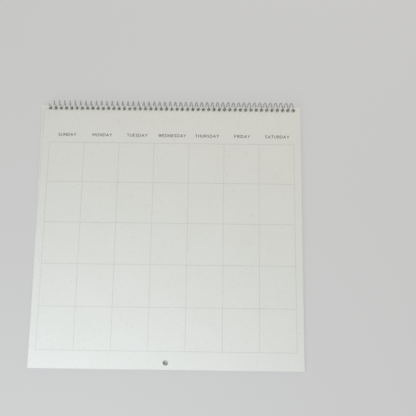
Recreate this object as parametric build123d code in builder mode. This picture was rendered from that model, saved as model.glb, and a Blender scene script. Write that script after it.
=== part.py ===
from build123d import *
import os
from math import asin, cos, degrees, radians, sin, sqrt

# A wall calendar bound along its top edge with one helical plastic coil.
# It lies on its back with a month page on view and its front cover turned round behind.
# X runs to the right, Y runs up the page to the coil, and Z comes out of the month page.
# The origin is the middle of the hang hole, on the back of the block of leaves. Sizes are in mm.

# Leaves and cover
page_width = 304.8
page_height = 304.8
leaf_count = 12
leaf_thickness = 0.25
cover_thickness = 0.3
block_thickness = leaf_count * leaf_thickness

# Hang hole, near the free edge of every leaf. It and the coil's holes are left of the middle.
hang_hole_diameter = 6.0
hang_hole_to_edge = 7.3
page_middle_x = 0.6

# Printed month grid
column_count = 7
row_count = 5
grid_side_margin = 8.0
grid_top_margin = 46.5
grid_bottom_margin = 19.3
grid_line = 0.5
ink_thickness = 0.08

# Coil and the row of punched holes
hole_pitch = 6.3
hole_to_edge = 3.7
row_end_margin = 7.0
hole_sides = 12
wire_diameter = 1.4
hole_slack = 1.5
coil_radius = 4.5
axis_below_front = 0.5
chords_per_turn = 14
wire_sides = 6
start_angle_above_front = 62
tip_length = 1.5
tip_bend = 0.6
end_inset = 0.7

# Sideways, the wire lies right of middle in the block's holes and left of middle in the cover's
block_side_play = 0.45 * hole_slack
cover_side_play = 0.8 * hole_slack

# Places that follow from those sizes
hole_diameter = wire_diameter + 2 * hole_slack
hole_count = int((page_width - 2 * row_end_margin) / hole_pitch) + 1
first_hole_x = -(hole_count - 1) * hole_pitch / 2
bottom_edge_y = -hang_hole_to_edge
page_middle_y = bottom_edge_y + page_height / 2
hole_row_y = bottom_edge_y + page_height - hole_to_edge
axis_z = block_thickness - axis_below_front


def wire_reach(z):
    """How far the wire stands from the coil's axis, down the page, where it passes height z."""
    return sqrt(coil_radius**2 - (axis_z - z) ** 2)


def wire_turn(z):
    """How far round the coil that is, in degrees from straight up the page, over the top."""
    return 180 + degrees(asin((axis_z - z) / coil_radius))


# The holes stand midway between where the wire goes in at the front and comes out at the back
block_reach = (wire_reach(block_thickness) + wire_reach(0)) / 2
cover_reach = (wire_reach(0) + wire_reach(-cover_thickness)) / 2
axis_y = hole_row_y + block_reach
block_turn = wire_turn(block_thickness / 2)
cover_turn = wire_turn(-cover_thickness / 2)

# Turned once round the helix, the cover has gone one pitch to the left, less the side play
wire_x_in_block = first_hole_x + block_side_play
wire_x_in_cover = wire_x_in_block + hole_pitch * (cover_turn - block_turn) / 360
cover_shift_x = wire_x_in_cover + cover_side_play - (first_hole_x + hole_pitch)
cover_shift_y = block_reach - cover_reach


def helix_point(turn, radius):
    """A point on the wire's path, at a turn in degrees that counts on from the first hole."""
    x = wire_x_in_block + hole_pitch * (turn - block_turn) / 360
    return (x, axis_y + radius * cos(radians(turn)), axis_z + radius * sin(radians(turn)))


def leaf_outline():
    """A square leaf with its row of coil holes and its hang hole, in the sketch that is open."""
    with Locations((page_middle_x, page_middle_y)):
        Rectangle(page_width, page_height)
    with Locations((0, hole_row_y)):
        with GridLocations(hole_pitch, 0, hole_count, 1):
            RegularPolygon(hole_diameter / 2, hole_sides, mode=Mode.SUBTRACT)
    Circle(hang_hole_diameter / 2, mode=Mode.SUBTRACT)


# Block of leaves
with BuildPart() as page_block:
    with BuildSketch(Plane.XY):
        leaf_outline()
    extrude(amount=block_thickness)

# Front cover, turned round behind the block
with BuildPart() as front_cover:
    with BuildSketch(Plane((cover_shift_x, cover_shift_y, -cover_thickness))):
        leaf_outline()
    extrude(amount=cover_thickness)

# Month grid, a thin layer of ink on the page on view
grid_width = page_width - 2 * grid_side_margin
grid_height = page_height - grid_top_margin - grid_bottom_margin
column_width = grid_width / column_count
row_height = grid_height / row_count
grid_middle_y = bottom_edge_y + grid_bottom_margin + grid_height / 2
with BuildPart() as month_grid:
    with BuildSketch(Plane.XY.offset(block_thickness)):
        with Locations((page_middle_x, grid_middle_y)):
            Rectangle(grid_width + grid_line, grid_height + grid_line)
            with GridLocations(column_width, row_height, column_count, row_count):
                Rectangle(column_width - grid_line, row_height - grid_line, mode=Mode.SUBTRACT)
    extrude(amount=ink_thickness)

# Coil: one turn for each hole, its wire in short chords that are mitred where they meet.
# The corners stand out a little, so that the chords lie on the true radius on average.
chord_angle = 360 / chords_per_turn
corner_radius = coil_radius * 2 / (1 + cos(radians(chord_angle / 2)))
chords_before_hole = round((start_angle_above_front + block_turn - 180) / chord_angle)
start_turn = block_turn - chords_before_hole * chord_angle
chord_count = chords_before_hole + chords_per_turn * (hole_count - 1)
route = []
for i in range(chord_count + 1):
    route.append(helix_point(start_turn + i * chord_angle, corner_radius))

# Its left end stands over the first hole, where the cut tip is pressed in towards the axis
tip_angle = degrees(tip_length / coil_radius)
route.insert(0, helix_point(start_turn - tip_angle, corner_radius - tip_bend))

# Its right end stops inside the last hole, short of the back of the block
lowest_z = end_inset + wire_diameter / 2 * (axis_z - end_inset) / coil_radius
last_turn = wire_turn(lowest_z) + 360 * (hole_count - 1)
route.append(helix_point(last_turn, corner_radius))

with BuildPart() as coil:
    with BuildLine() as wire_path:
        Polyline(*route)
    start = Vector(*route[0])
    with BuildSketch(Plane(origin=start, z_dir=Vector(*route[1]) - start)):
        RegularPolygon(wire_diameter / 2, wire_sides)
    sweep(path=wire_path.wires()[0], transition=Transition.RIGHT)

page_block.part.label = "page_block"
front_cover.part.label = "front_cover"
month_grid.part.label = "month_grid"
coil.part.label = "coil"

os.makedirs("parts", exist_ok=True)
export_step(page_block.part, "parts/page_block.step")
export_step(front_cover.part, "parts/front_cover.step")
export_step(month_grid.part, "parts/month_grid.step")
export_step(coil.part, "parts/coil.step")

print("holes", hole_count, "of diameter", round(hole_diameter, 3))
print("coil axis at y", round(axis_y, 4), "z", round(axis_z, 4))
print("cover shifted in x", round(cover_shift_x, 4), "y", round(cover_shift_y, 4))
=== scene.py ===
"""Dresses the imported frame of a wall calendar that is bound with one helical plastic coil.

Everything is in metres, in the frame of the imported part: X to the right, Y up the page to the
coil, Z out of the month page. The origin is the middle of the hang hole, on the back of the
leaves.
"""

from __future__ import annotations

import logging
import math
from dataclasses import dataclass, field
from enum import Enum
from typing import Any

import bpy
from mathutils import Matrix, Vector

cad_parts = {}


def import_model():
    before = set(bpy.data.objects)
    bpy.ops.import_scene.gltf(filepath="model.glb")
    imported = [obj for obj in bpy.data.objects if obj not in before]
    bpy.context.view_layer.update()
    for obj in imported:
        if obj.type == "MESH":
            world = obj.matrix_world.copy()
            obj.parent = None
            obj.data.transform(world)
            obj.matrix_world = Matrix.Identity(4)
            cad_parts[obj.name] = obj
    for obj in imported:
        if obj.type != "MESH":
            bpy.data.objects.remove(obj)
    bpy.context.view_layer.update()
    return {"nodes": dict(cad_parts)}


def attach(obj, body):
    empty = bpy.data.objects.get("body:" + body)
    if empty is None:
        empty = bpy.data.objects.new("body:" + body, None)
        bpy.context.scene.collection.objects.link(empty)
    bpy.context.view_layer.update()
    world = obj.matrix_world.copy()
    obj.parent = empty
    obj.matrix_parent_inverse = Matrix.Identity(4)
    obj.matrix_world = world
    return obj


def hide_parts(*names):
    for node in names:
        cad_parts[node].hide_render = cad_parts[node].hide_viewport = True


MM = 0.001
LOG = logging.getLogger("wall_calendar")

Point = tuple[float, float]
Triple = tuple[float, float, float]
Colour = Triple


def srgb(red: int, green: int, blue: int) -> Colour:
    """A colour given in display levels from 0 to 255, as linear light.

    Args:
        red: Display level of red.
        green: Display level of green.
        blue: Display level of blue.

    Returns:
        The three linear values.
    """

    def linear(level: int) -> float:
        """One display level as linear light."""
        share = level / 255
        return share / 12.92 if share <= 0.04045 else ((share + 0.055) / 1.055) ** 2.4

    return (linear(red), linear(green), linear(blue))


WHITE: Colour = (1.0, 1.0, 1.0)
BACKDROP = srgb(204, 204, 204)


class Body(Enum):
    """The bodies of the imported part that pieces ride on."""

    BLOCK = "block"
    COVER = "cover"
    BINDING = "binding"


class Slot(Enum):
    """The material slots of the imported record."""

    LEAVES = "leaves"
    COVER = "cover"
    INK = "grid_ink"
    COIL = "coil"


class Weekday(Enum):
    """The names over the seven columns, in the order that they stand in."""

    SUNDAY = 0
    MONDAY = 1
    TUESDAY = 2
    WEDNESDAY = 3
    THURSDAY = 4
    FRIDAY = 5
    SATURDAY = 6


# Geometry Nodes


class Recipe:
    """A Geometry Nodes tree with named inputs, which is run once and gives a plain mesh."""

    def __init__(self, name: str) -> None:
        """Starts an empty tree.

        Args:
            name: What the tree is called.
        """
        self.name = name
        self.tree = bpy.data.node_groups.new(name, "GeometryNodeTree")
        self.tree.interface.new_socket(
            "Geometry", in_out="OUTPUT", socket_type="NodeSocketGeometry"
        )
        self.entry = self.tree.nodes.new("NodeGroupInput")
        self.given: dict[str, Any] = {}

    def ask(self, label: str, value: Any, kind: str = "Float") -> bpy.types.NodeSocket:
        """Adds a named input to the tree.

        Args:
            label: The input's name.
            value: What it is given when the tree runs.
            kind: The socket's kind, such as Float, Int, Vector or Material.

        Returns:
            The socket that carries it inside the tree.
        """
        item = self.tree.interface.new_socket(
            label, in_out="INPUT", socket_type="NodeSocket" + kind
        )
        self.given[item.identifier] = value
        return self.entry.outputs[label]

    def takes_curve(self) -> bpy.types.NodeSocket:
        """Adds the input that carries the curve on which the tree runs."""
        self.tree.interface.new_socket(
            "Curve", in_out="INPUT", socket_type="NodeSocketGeometry"
        )
        return self.entry.outputs["Curve"]

    def put(
        self, kind: str, links: dict[Any, Any] | None = None, **settings: Any
    ) -> bpy.types.Node:
        """Adds a node.

        Args:
            kind: The node's type, without its leading words where it is a geometry node.
            links: What goes into its sockets, by name or number: a socket or a plain value.
            settings: Properties of the node itself.

        Returns:
            The node.
        """
        full = kind if kind.startswith(("ShaderNode", "FunctionNode")) else "GeometryNode" + kind
        made = self.tree.nodes.new(full)
        for key, value in settings.items():
            setattr(made, key, value)
        for key, value in (links or {}).items():
            self.join(value, made.inputs[key])
        return made

    def join(self, value: Any, socket: bpy.types.NodeSocket) -> None:
        """Links a socket to another, or gives it a plain value.

        Args:
            value: An output socket, a list of them, or a plain value.
            socket: The input that receives it.
        """
        if isinstance(value, list):
            for one in value:
                self.tree.links.new(one, socket)
        elif isinstance(value, bpy.types.NodeSocket):
            self.tree.links.new(value, socket)
        else:
            socket.default_value = value

    def sum_up(self, operation: str, first: Any, second: Any = 0.0) -> bpy.types.NodeSocket:
        """One step of arithmetic.

        Args:
            operation: The operation's name, such as MULTIPLY.
            first: Its first value.
            second: Its second value, if it has one.

        Returns:
            The socket with the result.
        """
        return self.put("ShaderNodeMath", {0: first, 1: second}, operation=operation).outputs[0]

    def point(self, x: Any = 0.0, y: Any = 0.0, z: Any = 0.0) -> bpy.types.NodeSocket:
        """Three values as one vector socket."""
        return self.put("ShaderNodeCombineXYZ", {0: x, 1: y, 2: z}).outputs[0]

    def close(self, geometry: bpy.types.NodeSocket, finish: bpy.types.Material) -> None:
        """Ends the tree in Realize Instances and Set Material.

        Args:
            geometry: The finished geometry.
            finish: The material that it gets.
        """
        real = self.put("RealizeInstances", {"Geometry": geometry})
        dressed = self.put(
            "SetMaterial",
            {"Geometry": real.outputs[0], "Material": self.ask("Finish", finish, "Material")},
        )
        leave = self.tree.nodes.new("NodeGroupOutput")
        self.tree.links.new(dressed.outputs[0], leave.inputs[0])

    def run(self, name: str, host: bpy.types.ID | None = None) -> bpy.types.Object:
        """Runs the tree and keeps its result as a plain mesh.

        Args:
            name: The finished piece's name.
            host: The curve that the tree runs on. Without one it runs on an empty mesh.

        Returns:
            The finished piece, at the origin, with no modifier.
        """
        data = host or bpy.data.meshes.new(self.name + "_start")
        start = bpy.data.objects.new(self.name + "_start", data)
        bpy.context.scene.collection.objects.link(start)
        modifier = start.modifiers.new(self.name, "NODES")
        modifier.node_group = self.tree
        for identifier, value in self.given.items():
            modifier[identifier] = value
        graph = bpy.context.evaluated_depsgraph_get()
        mesh = bpy.data.meshes.new_from_object(start.evaluated_get(graph), depsgraph=graph)
        start.modifiers.remove(modifier)
        bpy.data.objects.remove(start)
        mesh.name = name
        piece = bpy.data.objects.new(name, mesh)
        bpy.context.scene.collection.objects.link(piece)
        return piece


# Finishes


class Surface:
    """A shader tree that is put together round one Principled shader."""

    def __init__(self, name: str) -> None:
        """Starts a material with a Principled shader and Object coordinates.

        Args:
            name: What the material is called.
        """
        self.material = bpy.data.materials.new(name)
        self.material.use_nodes = True
        self.nodes = self.material.node_tree.nodes
        self.links = self.material.node_tree.links
        self.shader = self.nodes["Principled BSDF"]
        self.place = self.nodes.new("ShaderNodeTexCoord").outputs["Object"]

    def steady(self, **values: Any) -> None:
        """Sets values that are the same all over the surface on the shader's own sockets."""
        for key, value in values.items():
            socket = self.shader.inputs[key.replace("_", " ").title().replace("Ior", "IOR")]
            socket.default_value = (*value, 1.0) if isinstance(value, tuple) else value

    def noise(
        self,
        scale: float,
        detail: float = 2.0,
        stretch: Triple = (1.0, 1.0, 1.0),
        turn: float = 0.0,
    ) -> bpy.types.NodeSocket:
        """A noise over Object coordinates.

        Args:
            scale: How many features there are in a metre.
            detail: How many finer layers it has.
            stretch: How the pattern is scaled along each axis.
            turn: How far it is turned in the page's plane, in radians.

        Returns:
            The socket with its level, from 0 to 1.
        """
        mapping = self.nodes.new("ShaderNodeMapping")
        mapping.inputs["Scale"].default_value = stretch
        mapping.inputs["Rotation"].default_value = (0.0, 0.0, turn)
        self.links.new(self.place, mapping.inputs["Vector"])
        texture = self.nodes.new("ShaderNodeTexNoise")
        texture.inputs["Scale"].default_value = scale
        texture.inputs["Detail"].default_value = detail
        self.links.new(mapping.outputs[0], texture.inputs["Vector"])
        return texture.outputs["Fac"]

    def blend(
        self,
        level: bpy.types.NodeSocket,
        low: Colour,
        high: Colour,
        start: float = 0.3,
        end: float = 0.7,
    ) -> bpy.types.NodeSocket:
        """Two colours spread over a level.

        Args:
            level: The level, from 0 to 1.
            low: The colour at the level start.
            high: The colour at the level end.
            start: Where the first colour ends.
            end: Where the second colour begins.

        Returns:
            The socket with the colour.
        """
        ramp = self.nodes.new("ShaderNodeValToRGB")
        ramp.color_ramp.elements[0].position = start
        ramp.color_ramp.elements[0].color = (*low, 1.0)
        ramp.color_ramp.elements[1].position = end
        ramp.color_ramp.elements[1].color = (*high, 1.0)
        self.links.new(level, ramp.inputs[0])
        return ramp.outputs["Color"]

    def over(
        self, base: bpy.types.NodeSocket, top: bpy.types.NodeSocket, share: float
    ) -> bpy.types.NodeSocket:
        """One colour multiplied into another.

        Args:
            base: The colour below.
            top: The colour that is multiplied in.
            share: How strongly it is.

        Returns:
            The socket with the colour.
        """
        mix = self.nodes.new("ShaderNodeMix")
        mix.data_type = "RGBA"
        mix.blend_type = "MULTIPLY"
        mix.inputs["Factor"].default_value = share
        self.links.new(base, mix.inputs["A"])
        self.links.new(top, mix.inputs["B"])
        return mix.outputs["Result"]

    def spread(
        self, level: bpy.types.NodeSocket, low: float, high: float
    ) -> bpy.types.NodeSocket:
        """Spreads a level between two values.

        Args:
            level: The level, from 0 to 1.
            low: The value at 0.
            high: The value at 1.

        Returns:
            The socket with the value.
        """
        remap = self.nodes.new("ShaderNodeMapRange")
        remap.inputs["To Min"].default_value = low
        remap.inputs["To Max"].default_value = high
        self.links.new(level, remap.inputs["Value"])
        return remap.outputs["Result"]

    def relief(self, levels: list[tuple[bpy.types.NodeSocket, float, float]]) -> None:
        """Bumps the surface with several levels, one after another.

        Args:
            levels: Each level with its strength and its depth in metres.
        """
        previous = None
        for level, strength, depth in levels:
            bump = self.nodes.new("ShaderNodeBump")
            bump.inputs["Strength"].default_value = strength
            bump.inputs["Distance"].default_value = depth
            self.links.new(level, bump.inputs["Height"])
            if previous:
                self.links.new(previous, bump.inputs["Normal"])
            previous = bump.outputs["Normal"]
        self.links.new(previous, self.shader.inputs["Normal"])

    def sum_up(self, operation: str, first: Any, second: Any = 0.0) -> bpy.types.NodeSocket:
        """One step of arithmetic.

        Args:
            operation: The operation's name, such as MULTIPLY.
            first: Its first value, a socket or a plain value.
            second: Its second value, if it has one.

        Returns:
            The socket with the result.
        """
        step = self.nodes.new("ShaderNodeMath")
        step.operation = operation
        for socket, value in zip(step.inputs, (first, second)):
            if isinstance(value, bpy.types.NodeSocket):
                self.links.new(value, socket)
            else:
                socket.default_value = value
        return step.outputs[0]

    def feed(self, socket: str, value: bpy.types.NodeSocket) -> None:
        """Links a value to one of the shader's sockets."""
        self.links.new(value, self.shader.inputs[socket])


@dataclass(frozen=True)
class PaperFinish:
    """Uncoated white paper with a faint cloudiness and short fibres."""

    name: str
    bright: Colour
    dull: Colour
    fibre: Colour
    fibre_share: float = 0.5
    fibre_scale: float = 900.0
    fibre_stretch: float = 0.22
    fibre_range: Point = (0.24, 0.36)
    fibre_turns: Point = (0.5, 0.2)
    fibre_relief: float = 0.35
    cloud_scale: float = 26.0
    mottle_scale: float = 420.0
    mottle_relief: float = 0.5
    fine_layers: float = 3.0
    roughness: Point = (0.72, 0.88)
    tooth: float = 0.02 * MM
    specular: float = 0.35
    sheen: float = 0.04

    def make(self) -> bpy.types.Material:
        """Builds the material.

        Returns:
            The finished material.
        """
        surface = Surface(self.name)
        cloud = surface.noise(self.cloud_scale, self.fine_layers)
        mottle = surface.noise(self.mottle_scale, self.fine_layers)
        along, across = self.fibre_turns
        narrow = self.fibre_stretch
        warp = surface.noise(self.fibre_scale, stretch=(narrow, 1.0, 1.0), turn=along)
        weft = surface.noise(self.fibre_scale, stretch=(1.0, narrow, 1.0), turn=across)
        colour = surface.blend(cloud, self.dull, self.bright)
        for strand in (warp, weft):
            strands = surface.blend(strand, self.fibre, WHITE, *self.fibre_range)
            colour = surface.over(colour, strands, self.fibre_share)
        surface.feed("Base Color", colour)
        surface.feed("Roughness", surface.spread(mottle, *self.roughness))
        surface.relief(
            [
                (warp, self.fibre_relief, self.tooth),
                (weft, self.fibre_relief, self.tooth),
                (mottle, self.mottle_relief, self.tooth),
            ]
        )
        surface.steady(specular_ior_level=self.specular, sheen_weight=self.sheen)
        return surface.material


@dataclass(frozen=True)
class InkFinish:
    """Grey printing ink that lets a little of the paper's unevenness through."""

    name: str
    dense: Colour
    thin: Colour
    fine_scale: float = 1500.0
    fine_range: Point = (0.35, 0.75)
    broad_scale: float = 60.0
    broad_shade: float = 0.86
    broad_share: float = 0.6
    roughness: Point = (0.5, 0.66)
    relief: Point = (0.4, 0.01 * MM)
    specular: float = 0.3

    def make(self) -> bpy.types.Material:
        """Builds the material.

        Returns:
            The finished material.
        """
        surface = Surface(self.name)
        fine = surface.noise(self.fine_scale)
        broad = surface.noise(self.broad_scale)
        ink = surface.blend(fine, self.dense, self.thin, *self.fine_range)
        shade = surface.blend(broad, (self.broad_shade,) * 3, WHITE)
        surface.feed("Base Color", surface.over(ink, shade, self.broad_share))
        surface.feed("Roughness", surface.spread(fine, *self.roughness))
        surface.relief([(fine, *self.relief)])
        surface.steady(specular_ior_level=self.specular)
        return surface.material


@dataclass(frozen=True)
class ClearPlasticFinish:
    """Clear extruded plastic, slightly smoky, with faint draw lines."""

    name: str
    tint: Colour
    haze: Colour
    haze_scale: float = 140.0
    draw_scale: float = 700.0
    draw_stretch: Triple = (1.0, 0.35, 0.35)
    roughness: Point = (0.1, 0.22)
    relief: Point = (0.25, 0.01 * MM)
    ior: float = 1.49
    transmission: float = 0.96
    specular: float = 0.5

    def make(self) -> bpy.types.Material:
        """Builds the material.

        Returns:
            The finished material.
        """
        surface = Surface(self.name)
        drawn = surface.noise(self.draw_scale, stretch=self.draw_stretch)
        cloud = surface.noise(self.haze_scale)
        surface.feed("Base Color", surface.blend(cloud, self.haze, self.tint))
        surface.feed("Roughness", surface.spread(drawn, *self.roughness))
        surface.relief([(drawn, *self.relief)])
        surface.steady(
            ior=self.ior,
            transmission_weight=self.transmission,
            specular_ior_level=self.specular,
        )
        return surface.material


@dataclass(frozen=True)
class Patch:
    """A rectangle of the floor."""

    middle: Point
    half: Point

    @classmethod
    def under(cls, page: PageSizes, side: float, bottom: float, top: float) -> Patch:
        """The floor right under a page.

        Args:
            page: The page's sizes.
            side: How far the rectangle stays inside the page at both sides.
            bottom: How far it stays inside at the free edge.
            top: How far it stays inside at the edge with the coil.

        Returns:
            The rectangle.
        """
        return cls(
            (page.middle_x, page.middle_y + (bottom - top) / 2),
            (page.width / 2 - side, page.height / 2 - (bottom + top) / 2),
        )

    def beyond(self, surface: Surface) -> bpy.types.NodeSocket:
        """Tells the floor outside the rectangle from the floor inside it.

        Args:
            surface: The shader tree that is being built.

        Returns:
            The socket with 1 outside and 0 inside.
        """
        split = surface.nodes.new("ShaderNodeSeparateXYZ")
        surface.links.new(surface.place, split.inputs[0])
        outside = []
        for axis in (0, 1):
            offset = surface.sum_up("SUBTRACT", split.outputs[axis], self.middle[axis])
            away = surface.sum_up("ABSOLUTE", offset)
            outside.append(surface.sum_up("GREATER_THAN", away, self.half[axis]))
        return surface.sum_up("MAXIMUM", *outside)


@dataclass(frozen=True)
class FloorFinish:
    """A plain pale matt floor, which looks even to the camera and in clear plastic.

    Right under the calendar it is left in the calendar's own shade.
    """

    name: str
    pale: Colour
    backdrop: Colour
    covered: Patch
    evenness: float = 0.75
    cloud_scale: float = 3.0
    cloud_gain: float = 1.01
    roughness: float = 0.9
    specular: float = 0.1

    def make(self) -> bpy.types.Material:
        """Builds the material.

        Returns:
            The finished material.
        """
        surface = Surface(self.name)
        faint = surface.noise(self.cloud_scale)
        paler = tuple(min(1.0, level * self.cloud_gain) for level in self.pale)
        surface.feed("Base Color", surface.blend(faint, self.pale, paler))
        surface.steady(roughness=self.roughness, specular_ior_level=self.specular)
        glow = surface.nodes.new("ShaderNodeEmission")
        glow.inputs["Color"].default_value = (*self.backdrop, 1.0)

        path = surface.nodes.new("ShaderNodeLightPath")
        seen = path.outputs["Is Camera Ray"]
        for ray in ("Is Glossy Ray", "Is Transmission Ray"):
            seen = surface.sum_up("MAXIMUM", seen, path.outputs[ray])
        seen = surface.sum_up("MULTIPLY", seen, self.covered.beyond(surface))
        even = surface.nodes.new("ShaderNodeMixShader")
        surface.links.new(surface.sum_up("MULTIPLY", seen, self.evenness), even.inputs[0])
        surface.links.new(surface.shader.outputs[0], even.inputs[1])
        surface.links.new(glow.outputs[0], even.inputs[2])
        surface.links.new(even.outputs[0], surface.nodes["Material Output"].inputs["Surface"])
        return surface.material


# The calendar's own sizes


@dataclass(frozen=True)
class PageSizes:
    """Sizes that the leaves, the cover, the print and the coil share."""

    width: float = 304.8 * MM
    height: float = 304.8 * MM
    hang_hole_diameter: float = 6.0 * MM
    hang_hole_to_edge: float = 7.3 * MM
    leaf_count: int = 12
    leaf_thickness: float = 0.25 * MM
    cover_thickness: float = 0.3 * MM
    hole_count: int = 47
    hole_pitch: float = 6.3 * MM
    hole_diameter: float = 4.4 * MM
    hole_to_edge: float = 3.7 * MM
    middle_x: float = 0.6 * MM
    grid_side_margin: float = 8.0 * MM
    grid_top_margin: float = 46.5 * MM
    column_count: int = 7

    @property
    def block_thickness(self) -> float:
        """How thick the leaves are together."""
        return self.leaf_count * self.leaf_thickness

    @property
    def bottom_edge_y(self) -> float:
        """Where the page's free edge is."""
        return -self.hang_hole_to_edge

    @property
    def middle_y(self) -> float:
        """Where the page's middle is."""
        return self.bottom_edge_y + self.height / 2

    @property
    def hole_row_y(self) -> float:
        """Where the punched holes are."""
        return self.bottom_edge_y + self.height - self.hole_to_edge

    @property
    def first_hole_x(self) -> float:
        """Where the first punched hole is."""
        return -(self.hole_count - 1) * self.hole_pitch / 2

    @property
    def grid_top_y(self) -> float:
        """Where the printed grid's top line is."""
        return self.bottom_edge_y + self.height - self.grid_top_margin

    @property
    def column_width(self) -> float:
        """How wide one column of the printed grid is."""
        return (self.width - 2 * self.grid_side_margin) / self.column_count


# Sheets

LEAF_GAP = 0.018 * MM
LEAF_WANDER: Point = (0.1 * MM, 0.05 * MM)
COVER_SHIFT: Point = (-4.018 * MM, 0.475 * MM)
COVER_LEAN = 0.0136


@dataclass(frozen=True)
class WireArc:
    """The arc along which the wire comes down through the holes of a pile of sheets."""

    radius: float
    axis_z: float
    mean_reach: float
    lift: float = 0.1 * MM


@dataclass
class PunchedSheets:
    """Square sheets with a row of coil holes and a hang hole, one or several in a pile."""

    name: str
    body: Body
    slot: Slot
    node: str
    finish: bpy.types.Material
    page: PageSizes
    count: int = 1
    thickness: float = 0.25 * MM
    step: float = 0.25 * MM
    lowest: float = 0.0
    shift: Point = (0.0, 0.0)
    lean: float = 0.0
    wander: Point = (0.0, 0.0)
    arc: WireArc | None = None
    seed: int = 4
    hole_sides: int = 24
    hang_hole_sides: int = 64
    weld: float = 0.001 * MM

    def build(self) -> bpy.types.Object:
        """Makes the sheets from one filled outline, repeated in a pile.

        Returns:
            The finished piece.
        """
        recipe = Recipe(self.name + "_sheets")
        page = self.page
        width = recipe.ask("Sheet Width", page.width)
        height = recipe.ask("Sheet Height", page.height)
        middle = recipe.point(
            recipe.ask("Middle Across", page.middle_x), recipe.ask("Middle Up", page.middle_y)
        )
        outline = recipe.put("CurvePrimitiveQuadrilateral", {"Width": width, "Height": height})
        placed = recipe.put("Transform", {"Geometry": outline.outputs[0], "Translation": middle})
        holes = self.punch_row(recipe)
        hang = recipe.put(
            "CurvePrimitiveCircle",
            {
                "Resolution": recipe.ask("Hang Hole Sides", self.hang_hole_sides, "Int"),
                "Radius": recipe.ask("Hang Hole Radius", page.hang_hole_diameter / 2),
            },
        )
        outlines = [placed.outputs[0], holes, hang.outputs[0]]
        loops = recipe.put("JoinGeometry", {"Geometry": outlines})
        filled = recipe.put("FillCurve", {"Curve": loops.outputs[0]}, mode="TRIANGLES")
        leant = self.lean_over(recipe, filled.outputs[0])
        solid = self.thicken(recipe, leant)
        recipe.close(self.pile_up(recipe, solid), self.finish)
        return recipe.run(self.name)

    def punch_row(self, recipe: Recipe) -> bpy.types.NodeSocket:
        """Lays out the row of coil holes.

        Args:
            recipe: The tree that is being built.

        Returns:
            The holes' outlines.
        """
        page = self.page
        first = recipe.point(
            recipe.ask("First Hole", page.first_hole_x), recipe.ask("Hole Row", page.hole_row_y)
        )
        row = recipe.put(
            "MeshLine",
            {
                "Count": recipe.ask("Hole Count", page.hole_count, "Int"),
                "Start Location": first,
                "Offset": recipe.point(recipe.ask("Hole Pitch", page.hole_pitch)),
            },
        )
        ring = recipe.put(
            "CurvePrimitiveCircle",
            {
                "Resolution": recipe.ask("Hole Sides", self.hole_sides, "Int"),
                "Radius": recipe.ask("Hole Radius", page.hole_diameter / 2),
            },
        )
        rings = recipe.put(
            "InstanceOnPoints", {"Points": row.outputs[0], "Instance": ring.outputs[0]}
        )
        return recipe.put("RealizeInstances", {"Geometry": rings.outputs[0]}).outputs[0]

    def lean_over(self, recipe: Recipe, sheet: bpy.types.NodeSocket) -> bpy.types.NodeSocket:
        """Lets the sheet hang a little askew from its row of holes.

        Args:
            recipe: The tree that is being built.
            sheet: The filled outline.

        Returns:
            The sheet, moved sideways in proportion to the distance from the holes.
        """
        spot = recipe.put("InputPosition").outputs[0]
        parts = recipe.put("ShaderNodeSeparateXYZ", {0: spot})
        drop = recipe.sum_up(
            "SUBTRACT", recipe.ask("Lean From", self.page.hole_row_y), parts.outputs["Y"]
        )
        aside = recipe.sum_up("MULTIPLY", drop, recipe.ask("Lean", self.lean))
        return recipe.put(
            "SetPosition", {"Geometry": sheet, "Offset": recipe.point(aside)}
        ).outputs[0]

    def thicken(self, recipe: Recipe, sheet: bpy.types.NodeSocket) -> bpy.types.NodeSocket:
        """Gives the sheet its thickness, closed on all sides.

        Args:
            recipe: The tree that is being built.
            sheet: The flat sheet.

        Returns:
            The solid sheet.
        """
        raised = recipe.put(
            "ExtrudeMesh",
            {
                "Mesh": sheet,
                "Offset": (0.0, 0.0, 1.0),
                "Offset Scale": recipe.ask("Thickness", self.thickness),
                "Individual": False,
            },
            mode="FACES",
        )
        under = recipe.put("FlipFaces", {"Mesh": sheet})
        both = recipe.put("JoinGeometry", {"Geometry": [raised.outputs[0], under.outputs[0]]})
        welded = recipe.put(
            "MergeByDistance", {"Geometry": both.outputs[0], "Distance": self.weld}
        )
        return welded.outputs[0]

    def pile_up(self, recipe: Recipe, sheet: bpy.types.NodeSocket) -> bpy.types.NodeSocket:
        """Repeats the sheet upwards, each a hair out of line with the next.

        Args:
            recipe: The tree that is being built.
            sheet: One solid sheet.

        Returns:
            The pile.
        """
        line = recipe.put(
            "MeshLine",
            {
                "Count": recipe.ask("Sheet Count", self.count, "Int"),
                "Start Location": recipe.ask("Start", (*self.shift, self.lowest), "Vector"),
                "Offset": recipe.point(0.0, 0.0, recipe.ask("Step", self.step)),
            },
        )
        most = recipe.ask("Wander", (*self.wander, 0.0), "Vector")
        least = recipe.put("ShaderNodeVectorMath", {0: most, "Scale": -1.0}, operation="SCALE")
        stray = recipe.put("FunctionNodeRandomValue", data_type="FLOAT_VECTOR")
        recipe.join(least.outputs[0], stray.inputs[0])
        recipe.join(most, stray.inputs[1])
        recipe.join(recipe.ask("Seed", self.seed, "Int"), stray.inputs["Seed"])
        offset = stray.outputs[0]
        if self.arc:
            settled = recipe.put(
                "ShaderNodeVectorMath", {0: offset, 1: self.settle(recipe)}, operation="ADD"
            )
            offset = settled.outputs[0]
        points = recipe.put("SetPosition", {"Geometry": line.outputs[0], "Offset": offset})
        return recipe.put(
            "InstanceOnPoints", {"Points": points.outputs[0], "Instance": sheet}
        ).outputs[0]

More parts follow.
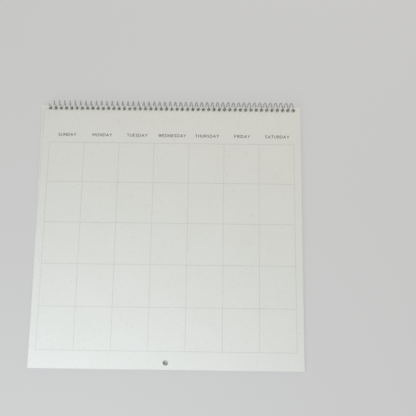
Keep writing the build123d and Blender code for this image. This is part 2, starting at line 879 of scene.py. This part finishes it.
    def settle(self, recipe: Recipe) -> bpy.types.NodeSocket:
        """Lets each sheet of the pile hang where the wire comes down through it.

        Args:
            recipe: The tree that is being built.

        Returns:
            How far each sheet moves up the page.
        """
        spot = recipe.put("ShaderNodeSeparateXYZ", {0: recipe.put("InputPosition").outputs[0]})
        middle = recipe.sum_up("ADD", spot.outputs["Z"], self.thickness / 2)
        below = recipe.sum_up("SUBTRACT", recipe.ask("Wire Axis Height", self.arc.axis_z), middle)
        radius = recipe.ask("Wire Arc Radius", self.arc.radius)
        squares = [recipe.sum_up("POWER", side, 2.0) for side in (radius, below)]
        reach = recipe.sum_up("SQRT", recipe.sum_up("SUBTRACT", *squares))
        up = recipe.sum_up("SUBTRACT", recipe.ask("Mean Reach", self.arc.mean_reach), reach)
        return recipe.point(y=recipe.sum_up("ADD", up, recipe.ask("Lift", self.arc.lift)))

    def dress(self, piece: bpy.types.Object) -> None:
        """Fixes the sheets to their body.

        Args:
            piece: The finished piece.
        """
        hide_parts(self.node)
        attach(piece, self.body.value)


# Print


def arc(
    middle: Point, reach: Point, start: float, end: float, steps: int = 14
) -> list[Point]:
    """Points along part of an ellipse.

    Args:
        middle: Its middle.
        reach: Its half width and half height.
        start: The first angle, in degrees.
        end: The last angle, in degrees.
        steps: How many chords it has.

    Returns:
        The points.
    """
    points = []
    for i in range(steps + 1):
        turn = math.radians(start + (end - start) * i / steps)
        x = middle[0] + reach[0] * math.cos(turn)
        points.append((x, middle[1] + reach[1] * math.sin(turn)))
    return points


def lines(*strokes: str) -> tuple[list[Point], ...]:
    """Straight strokes of a letter.

    Args:
        strokes: The points of each stroke, as pairs with a comma, and spaces between the pairs.

    Returns:
        Each stroke's points.
    """
    made = []
    for stroke in strokes:
        pairs = [pair.split(",") for pair in stroke.split()]
        made.append([(float(x), float(y)) for x, y in pairs])
    return tuple(made)


@dataclass(frozen=True)
class Letter:
    """A capital drawn with strokes of one thickness, in units of its own height."""

    width: float
    strokes: tuple[list[Point], ...]


class PlainCapitals:
    """Plain geometric capitals for the names of the weekdays."""

    def __init__(self) -> None:
        """Draws the capitals."""
        stem = "0,0 0,1"
        bowl = [(0.0, 1.0), *arc((0.34, 0.5), (0.47, 0.5), 90, -90), (0.0, 0.0)]
        loop = [(0.0, 1.0), *arc((0.34, 0.73), (0.27, 0.27), 90, -90), (0.0, 0.46)]
        ring = arc((0.5, 0.5), (0.5, 0.51), 0, 360, 28)
        cup = [(0.0, 1.0), *arc((0.37, 0.37), (0.37, 0.38), 180, 360), (0.74, 1.0)]
        snake = [
            *arc((0.3, 0.745), (0.26, 0.265), 35, 262),
            *arc((0.3, 0.245), (0.29, 0.255), 82, -145),
        ]
        valley = ("0,1 0.29,0", "0.29,0 0.58,1", "0.58,1 0.87,0", "0.87,0 1.16,1")
        self.letters: dict[str, Letter] = {
            "A": Letter(0.88, lines("0,0 0.44,1", "0.44,1 0.88,0", "0.14,0.3 0.74,0.3")),
            "D": Letter(0.81, (*lines(stem), bowl)),
            "E": Letter(0.6, lines(stem, "0,1 0.6,1", "0,0.51 0.53,0.51", "0,0 0.6,0")),
            "F": Letter(0.58, lines(stem, "0,1 0.58,1", "0,0.49 0.51,0.49")),
            "H": Letter(0.76, lines(stem, "0.76,0 0.76,1", "0,0.51 0.76,0.51")),
            "I": Letter(0.04, lines("0.02,0 0.02,1")),
            "M": Letter(0.9, lines(stem, "0,1 0.45,0.32", "0.45,0.32 0.9,1", "0.9,1 0.9,0")),
            "N": Letter(0.77, lines(stem, "0,1 0.77,0", "0.77,0 0.77,1")),
            "O": Letter(1.0, (ring,)),
            "R": Letter(0.64, (*lines(stem), loop, *lines("0.32,0.46 0.64,0"))),
            "S": Letter(0.6, (snake,)),
            "T": Letter(0.72, lines("0,1 0.72,1", "0.36,1 0.36,0")),
            "U": Letter(0.74, (cup,)),
            "W": Letter(1.16, lines(*valley)),
            "Y": Letter(0.8, lines("0,1 0.4,0.47", "0.8,1 0.4,0.47", "0.4,0.47 0.4,0")),
        }

    def strokes(
        self, word: str, middle_x: float, foot_y: float, tall: float, gap: float
    ) -> list[list[Point]]:
        """Sets a word.

        Args:
            word: The word, in capitals.
            middle_x: Where its middle is.
            foot_y: Where its foot is.
            tall: How tall the capitals are.
            gap: The space between two capitals, in units of their height.

        Returns:
            The strokes, in the page's frame.
        """
        total = sum(self.letters[c].width for c in word) + gap * (len(word) - 1)
        pen = middle_x - total * tall / 2
        made = []
        for character in word:
            letter = self.letters[character]
            for stroke in letter.strokes:
                made.append([(pen + x * tall, foot_y + y * tall) for x, y in stroke])
            pen += (letter.width + gap) * tall
        return made


@dataclass
class MonthPrint:
    """What is printed on the month page: the ruled grid and the names of the weekdays."""

    page: PageSizes
    grid_ink: bpy.types.Material
    name_ink: bpy.types.Material
    node: str = "month_grid"
    letter_height: float = 3.1 * MM
    letter_gap: float = 0.42
    foot_above_grid: float = 8.0 * MM
    drift: float = 0.15 * MM
    stroke: float = 0.5 * MM
    ink_thickness: float = 0.05 * MM
    dot_sides: int = 10
    dot_share: float = 0.98

    def build(self) -> bpy.types.Object:
        """Makes the names: a ribbon of ink for each stroke, and a dot at each of its points.

        Returns:
            The finished piece.
        """
        recipe = Recipe("weekday_names")
        paths = recipe.takes_curve()
        thickness = recipe.ask("Ink Thickness", self.ink_thickness)
        stroke = recipe.ask("Stroke Width", self.stroke)
        upright = recipe.put("SetCurveNormal", {"Curve": paths}, mode="Z_UP")
        section = recipe.put("CurvePrimitiveQuadrilateral", {"Width": stroke, "Height": thickness})
        ribbon = recipe.put(
            "CurveToMesh",
            {"Curve": upright.outputs[0], "Profile Curve": section.outputs[0], "Fill Caps": True},
        )
        dot = recipe.put(
            "MeshCylinder",
            {
                "Vertices": recipe.ask("Dot Sides", self.dot_sides, "Int"),
                "Radius": recipe.sum_up("MULTIPLY", stroke, 0.5),
                "Depth": recipe.sum_up("MULTIPLY", thickness, self.dot_share),
            },
        )
        dots = recipe.put("InstanceOnPoints", {"Points": paths, "Instance": dot.outputs[0]})
        both = recipe.put("JoinGeometry", {"Geometry": [ribbon.outputs[0], dots.outputs[0]]})
        recipe.close(both.outputs[0], self.name_ink)
        return recipe.run("weekday_names", self.draw_paths())

    def draw_paths(self) -> bpy.types.Curve:
        """Lays out the strokes of the seven names as one curve.

        Returns:
            The curve.
        """
        capitals = PlainCapitals()
        curve = bpy.data.curves.new("weekday_strokes", "CURVE")
        curve.dimensions = "3D"
        height = self.page.block_thickness + self.ink_thickness / 2
        left = self.page.middle_x - self.page.width / 2 + self.page.grid_side_margin
        foot = self.page.grid_top_y + self.foot_above_grid
        for day in Weekday:
            middle = left + (day.value + 0.5) * self.page.column_width + day.value * self.drift
            for stroke in capitals.strokes(
                day.name, middle, foot, self.letter_height, self.letter_gap
            ):
                spline = curve.splines.new("POLY")
                spline.points.add(len(stroke) - 1)
                for point, (x, y) in zip(spline.points, stroke):
                    point.co = (x, y, height, 1.0)
        return curve

    def dress(self, names: bpy.types.Object, nodes: dict[str, bpy.types.Object]) -> None:
        """Inks the grid that the frame carries, and fixes the names to the leaves.

        Args:
            names: The finished names.
            nodes: The frame's nodes.
        """
        grid = nodes[self.node]
        if not grid.material_slots:
            grid.data.materials.append(self.grid_ink)
        for slot in grid.material_slots:
            slot.material = self.grid_ink
        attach(names, Body.BLOCK.value)


# Coil


@dataclass
class BindingCoil:
    """One length of clear plastic wire, wound through every hole in the leaves and the cover."""

    page: PageSizes
    finish: bpy.types.Material
    node: str = "coil"
    wire_diameter: float = 1.4 * MM
    radius: float = 4.5 * MM
    axis_below_front: float = 0.5 * MM
    side_play: float = 0.675 * MM
    tip_length: float = 1.5 * MM
    tip_bend: float = 0.6 * MM
    start_turn: float = 115.7
    end_inset: float = 0.7 * MM
    steps_a_turn: int = 32
    wire_sides: int = 12
    axis_y: float = field(init=False)
    axis_z: float = field(init=False)

    def __post_init__(self) -> None:
        """Works out where the axis is, with the holes midway between the wire's way in and out."""
        self.axis_z = self.page.block_thickness - self.axis_below_front
        reach = (self.reach(self.page.block_thickness) + self.reach(0.0)) / 2
        self.axis_y = self.page.hole_row_y + reach

    def reach(self, height: float) -> float:
        """How far down the page from its axis the wire passes a height."""
        return math.sqrt(self.radius**2 - (self.axis_z - height) ** 2)

    def turn(self, height: float) -> float:
        """The wire's turn, in degrees, where it passes a height on its way down through a hole."""
        return 180 + math.degrees(math.asin((self.axis_z - height) / self.radius))

    def build(self) -> bpy.types.Object:
        """Winds the wire along its helix.

        Returns:
            The finished piece.
        """
        recipe = Recipe("coil_winding")
        hole_turn = self.turn(self.page.block_thickness / 2)
        tip_angle = math.degrees(self.tip_length / self.radius)
        inward = (self.axis_z - self.end_inset) / self.radius
        lowest = self.end_inset + self.wire_diameter / 2 * inward
        first = self.start_turn - tip_angle
        last = self.turn(lowest) + 360 * (self.page.hole_count - 1)
        steps = round((last - first) / 360 * self.steps_a_turn)

        line = recipe.put("CurvePrimitiveLine", {"End": (1.0, 0.0, 0.0)})
        dense = recipe.put(
            "ResampleCurve", {"Curve": line.outputs[0], "Count": recipe.ask("Steps", steps, "Int")}
        )
        share = recipe.put("SplineParameter").outputs["Factor"]
        turn = recipe.put(
            "ShaderNodeMapRange",
            {
                "Value": share,
                "To Min": recipe.ask("First Turn", first),
                "To Max": recipe.ask("Last Turn", last),
            },
        ).outputs[0]
        pressed = recipe.put(
            "ShaderNodeMapRange",
            {
                "Value": turn,
                "From Min": recipe.ask("Tip Start", first),
                "From Max": recipe.ask("Tip End", first + 2 * tip_angle),
                "To Min": recipe.ask("Tip Bend", self.tip_bend),
                "To Max": 0.0,
            },
            interpolation_type="SMOOTHSTEP",
        ).outputs[0]
        radius = recipe.sum_up("SUBTRACT", recipe.ask("Coil Radius", self.radius), pressed)
        angle = recipe.sum_up("RADIANS", turn)
        along = recipe.sum_up(
            "MULTIPLY",
            recipe.sum_up("SUBTRACT", turn, recipe.ask("Hole Turn", hole_turn)),
            recipe.ask("Pitch A Degree", self.page.hole_pitch / 360),
        )
        wire_x = recipe.ask("Wire In First Hole", self.page.first_hole_x + self.side_play)
        spot = recipe.point(
            recipe.sum_up("ADD", along, wire_x),
            recipe.sum_up(
                "ADD",
                recipe.sum_up("MULTIPLY", radius, recipe.sum_up("COSINE", angle)),
                recipe.ask("Axis Up The Page", self.axis_y),
            ),
            recipe.sum_up(
                "ADD",
                recipe.sum_up("MULTIPLY", radius, recipe.sum_up("SINE", angle)),
                recipe.ask("Axis Height", self.axis_z),
            ),
        )
        wound = recipe.put("SetPosition", {"Geometry": dense.outputs[0], "Position": spot})
        section = recipe.put(
            "CurvePrimitiveCircle",
            {
                "Resolution": recipe.ask("Wire Sides", self.wire_sides, "Int"),
                "Radius": recipe.ask("Wire Radius", self.wire_diameter / 2),
            },
        )
        wire = recipe.put(
            "CurveToMesh",
            {"Curve": wound.outputs[0], "Profile Curve": section.outputs[0], "Fill Caps": True},
        )
        smooth = recipe.put("SetShadeSmooth", {"Geometry": wire.outputs[0], "Shade Smooth": True})
        recipe.close(smooth.outputs[0], self.finish)
        return recipe.run("binding_coil")

    def dress(self, piece: bpy.types.Object) -> None:
        """Fixes the coil to its own body.

        Args:
            piece: The finished piece.
        """
        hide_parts(self.node)
        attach(piece, Body.BINDING.value)


# Studio


@dataclass
class Studio:
    """The floor, the lamps and the camera."""

    floor_finish: bpy.types.Material
    low_end: Point = (-6.8 * MM, -0.3 * MM)
    high_end: Point = (297.9 * MM, -2.7 * MM)
    floor_gap: float = 0.03 * MM
    floor_half: float = 4.0
    camera_place: Triple = (47.17 * MM, 44.12 * MM, 672.48 * MM)
    camera_right: Triple = (0.99991, 0.01316, -0.00131)
    camera_up: Triple = (-0.01267, 0.98164, 0.19034)
    camera_reach: Point = (0.01, 50.0)
    focal_pixels: float = 590.0
    frame_pixels: float = 416.0
    sensor_width: float = 36.0
    lamp_aim: Triple = (0.0, 0.145, 0.0)
    key_place: Triple = (-0.21, -0.435, 0.45)
    key_size: float = 0.3
    key_power: float = 3.6
    key_colour: Colour = (0.86, 0.935, 1.0)
    fill_place: Triple = (0.3, 0.93, 0.6)
    fill_size: float = 0.5
    fill_power: float = 3.1
    fill_colour: Colour = (1.0, 0.87, 0.65)
    sky_strength: float = 0.35
    sky_colour: Colour = (0.98, 1.0, 0.97)
    backdrop: Colour = BACKDROP

    def lay_floor(self) -> bpy.types.Object:
        """Lays the floor under the calendar, which rests on its coil and on its free edge.

        Returns:
            The floor.
        """
        slope = (self.high_end[1] - self.low_end[1]) / (self.high_end[0] - self.low_end[0])
        half = self.floor_half
        corners = []
        for x, y in ((-half, -half), (half, -half), (half, half), (-half, half)):
            level = self.low_end[1] + (y - self.low_end[0]) * slope
            corners.append((x, y, level - self.floor_gap))
        mesh = bpy.data.meshes.new("floor")
        mesh.from_pydata(corners, [], [(0, 1, 2, 3)])
        mesh.materials.append(self.floor_finish)
        floor = bpy.data.objects.new("floor", mesh)
        bpy.context.scene.collection.objects.link(floor)
        return floor

    def hang_lamp(
        self, name: str, place: Triple, size: float, power: float, colour: Colour
    ) -> None:
        """Hangs one square soft lamp that faces the middle of the calendar.

        Args:
            name: The lamp's name.
            place: Where it hangs.
            size: How wide it is.
            power: How strong it is, in watts.
            colour: Its colour.
        """
        data = bpy.data.lights.new(name, "AREA")
        data.shape = "SQUARE"
        data.size = size
        data.energy = power
        data.color = colour
        lamp = bpy.data.objects.new(name, data)
        aim = Vector(self.lamp_aim) - Vector(place)
        lamp.location = place
        lamp.rotation_mode = "QUATERNION"
        lamp.rotation_quaternion = aim.to_track_quat("-Z", "Y")
        bpy.context.scene.collection.objects.link(lamp)

    def light_room(self) -> None:
        """Sets the room's even light, and the plain backdrop that the camera sees."""
        world = bpy.data.worlds.new("studio")
        world.use_nodes = True
        nodes = world.node_tree.nodes
        links = world.node_tree.links
        soft = nodes["Background"]
        soft.inputs["Color"].default_value = (*self.sky_colour, 1.0)
        soft.inputs["Strength"].default_value = self.sky_strength
        plain = nodes.new("ShaderNodeBackground")
        plain.inputs["Color"].default_value = (*self.backdrop, 1.0)
        plain.inputs["Strength"].default_value = 1.0
        path = nodes.new("ShaderNodeLightPath")
        seen = path.outputs["Is Camera Ray"]
        for ray in ("Is Glossy Ray", "Is Transmission Ray"):
            either = nodes.new("ShaderNodeMath")
            either.operation = "MAXIMUM"
            links.new(seen, either.inputs[0])
            links.new(path.outputs[ray], either.inputs[1])
            seen = either.outputs[0]
        mix = nodes.new("ShaderNodeMixShader")
        links.new(seen, mix.inputs[0])
        links.new(soft.outputs[0], mix.inputs[1])
        links.new(plain.outputs[0], mix.inputs[2])
        links.new(mix.outputs[0], nodes["World Output"].inputs["Surface"])
        bpy.context.scene.world = world

    def set_camera(self) -> None:
        """Sets the camera that looks down on the calendar."""
        right = Vector(self.camera_right).normalized()
        up = (Vector(self.camera_up) - right * right.dot(Vector(self.camera_up))).normalized()
        back = right.cross(up)
        data = bpy.data.cameras.new("camera")
        data.sensor_width = self.sensor_width
        data.lens = self.focal_pixels / self.frame_pixels * self.sensor_width
        data.clip_start, data.clip_end = self.camera_reach
        camera = bpy.data.objects.new("camera", data)
        turn = Matrix((right, up, back)).transposed().to_4x4()
        camera.matrix_world = Matrix.Translation(Vector(self.camera_place)) @ turn
        bpy.context.scene.collection.objects.link(camera)
        bpy.context.scene.camera = camera

    def set_up(self) -> None:
        """Builds the whole studio."""
        self.lay_floor()
        self.hang_lamp("key_lamp", self.key_place, self.key_size, self.key_power, self.key_colour)
        self.hang_lamp(
            "fill_lamp", self.fill_place, self.fill_size, self.fill_power, self.fill_colour
        )
        self.light_room()
        self.set_camera()
        bpy.context.scene.view_settings.view_transform = "Standard"


def corners(box: tuple[Vector, Vector]) -> list[list[float]]:
    """A box's two corners as plain lists."""
    return [list(box[0]), list(box[1])]


def main() -> None:
    """Builds the calendar piece by piece around the frame."""
    logging.basicConfig(level=logging.INFO, format="%(name)s: %(message)s")
    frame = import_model()
    page = PageSizes()

    paper = PaperFinish(
        "white_paper", srgb(236, 236, 234), srgb(234, 234, 231), srgb(230, 228, 224)
    ).make()
    card = PaperFinish(
        "cream_card", srgb(245, 243, 234), srgb(242, 239, 230), srgb(230, 226, 214), 0.6
    ).make()
    grid_ink = InkFinish("pale_grey_ink", srgb(214, 214, 214), srgb(225, 225, 224)).make()
    name_ink = InkFinish("dark_grey_ink", srgb(56, 56, 58), srgb(76, 76, 78)).make()
    plastic = ClearPlasticFinish("clear_plastic", srgb(204, 205, 205), srgb(190, 191, 191)).make()

    coil = BindingCoil(page, plastic)
    leaves = PunchedSheets(
        "leaves",
        Body.BLOCK,
        Slot.LEAVES,
        "page_block",
        paper,
        page,
        count=page.leaf_count,
        thickness=page.leaf_thickness - LEAF_GAP,
        step=page.leaf_thickness,
        lowest=LEAF_GAP,
        wander=LEAF_WANDER,
        arc=WireArc(coil.radius, coil.axis_z, coil.axis_y - page.hole_row_y),
    )
    piece = leaves.build()
    leaves.dress(piece)
    LOG.info("leaves: %d faces", len(piece.data.polygons))

    cover = PunchedSheets(
        "turned_cover",
        Body.COVER,
        Slot.COVER,
        "front_cover",
        card,
        page,
        thickness=page.cover_thickness,
        lowest=-page.cover_thickness,
        shift=COVER_SHIFT,
        lean=COVER_LEAN,
    )
    piece = cover.build()
    cover.dress(piece)
    LOG.info("turned cover: %d faces", len(piece.data.polygons))

    month = MonthPrint(page, grid_ink, name_ink)
    piece = month.build()
    month.dress(piece, frame["nodes"])
    LOG.info("weekday names: %d faces", len(piece.data.polygons))

    piece = coil.build()
    coil.dress(piece)
    LOG.info("coil: %d faces", len(piece.data.polygons))

    floor = FloorFinish(
        "studio_floor",
        srgb(216, 216, 216),
        BACKDROP,
        Patch.under(page, side=5 * MM, bottom=3 * MM, top=21 * MM),
    )
    Studio(floor.make()).set_up()


if __name__ == "__main__":
    main()
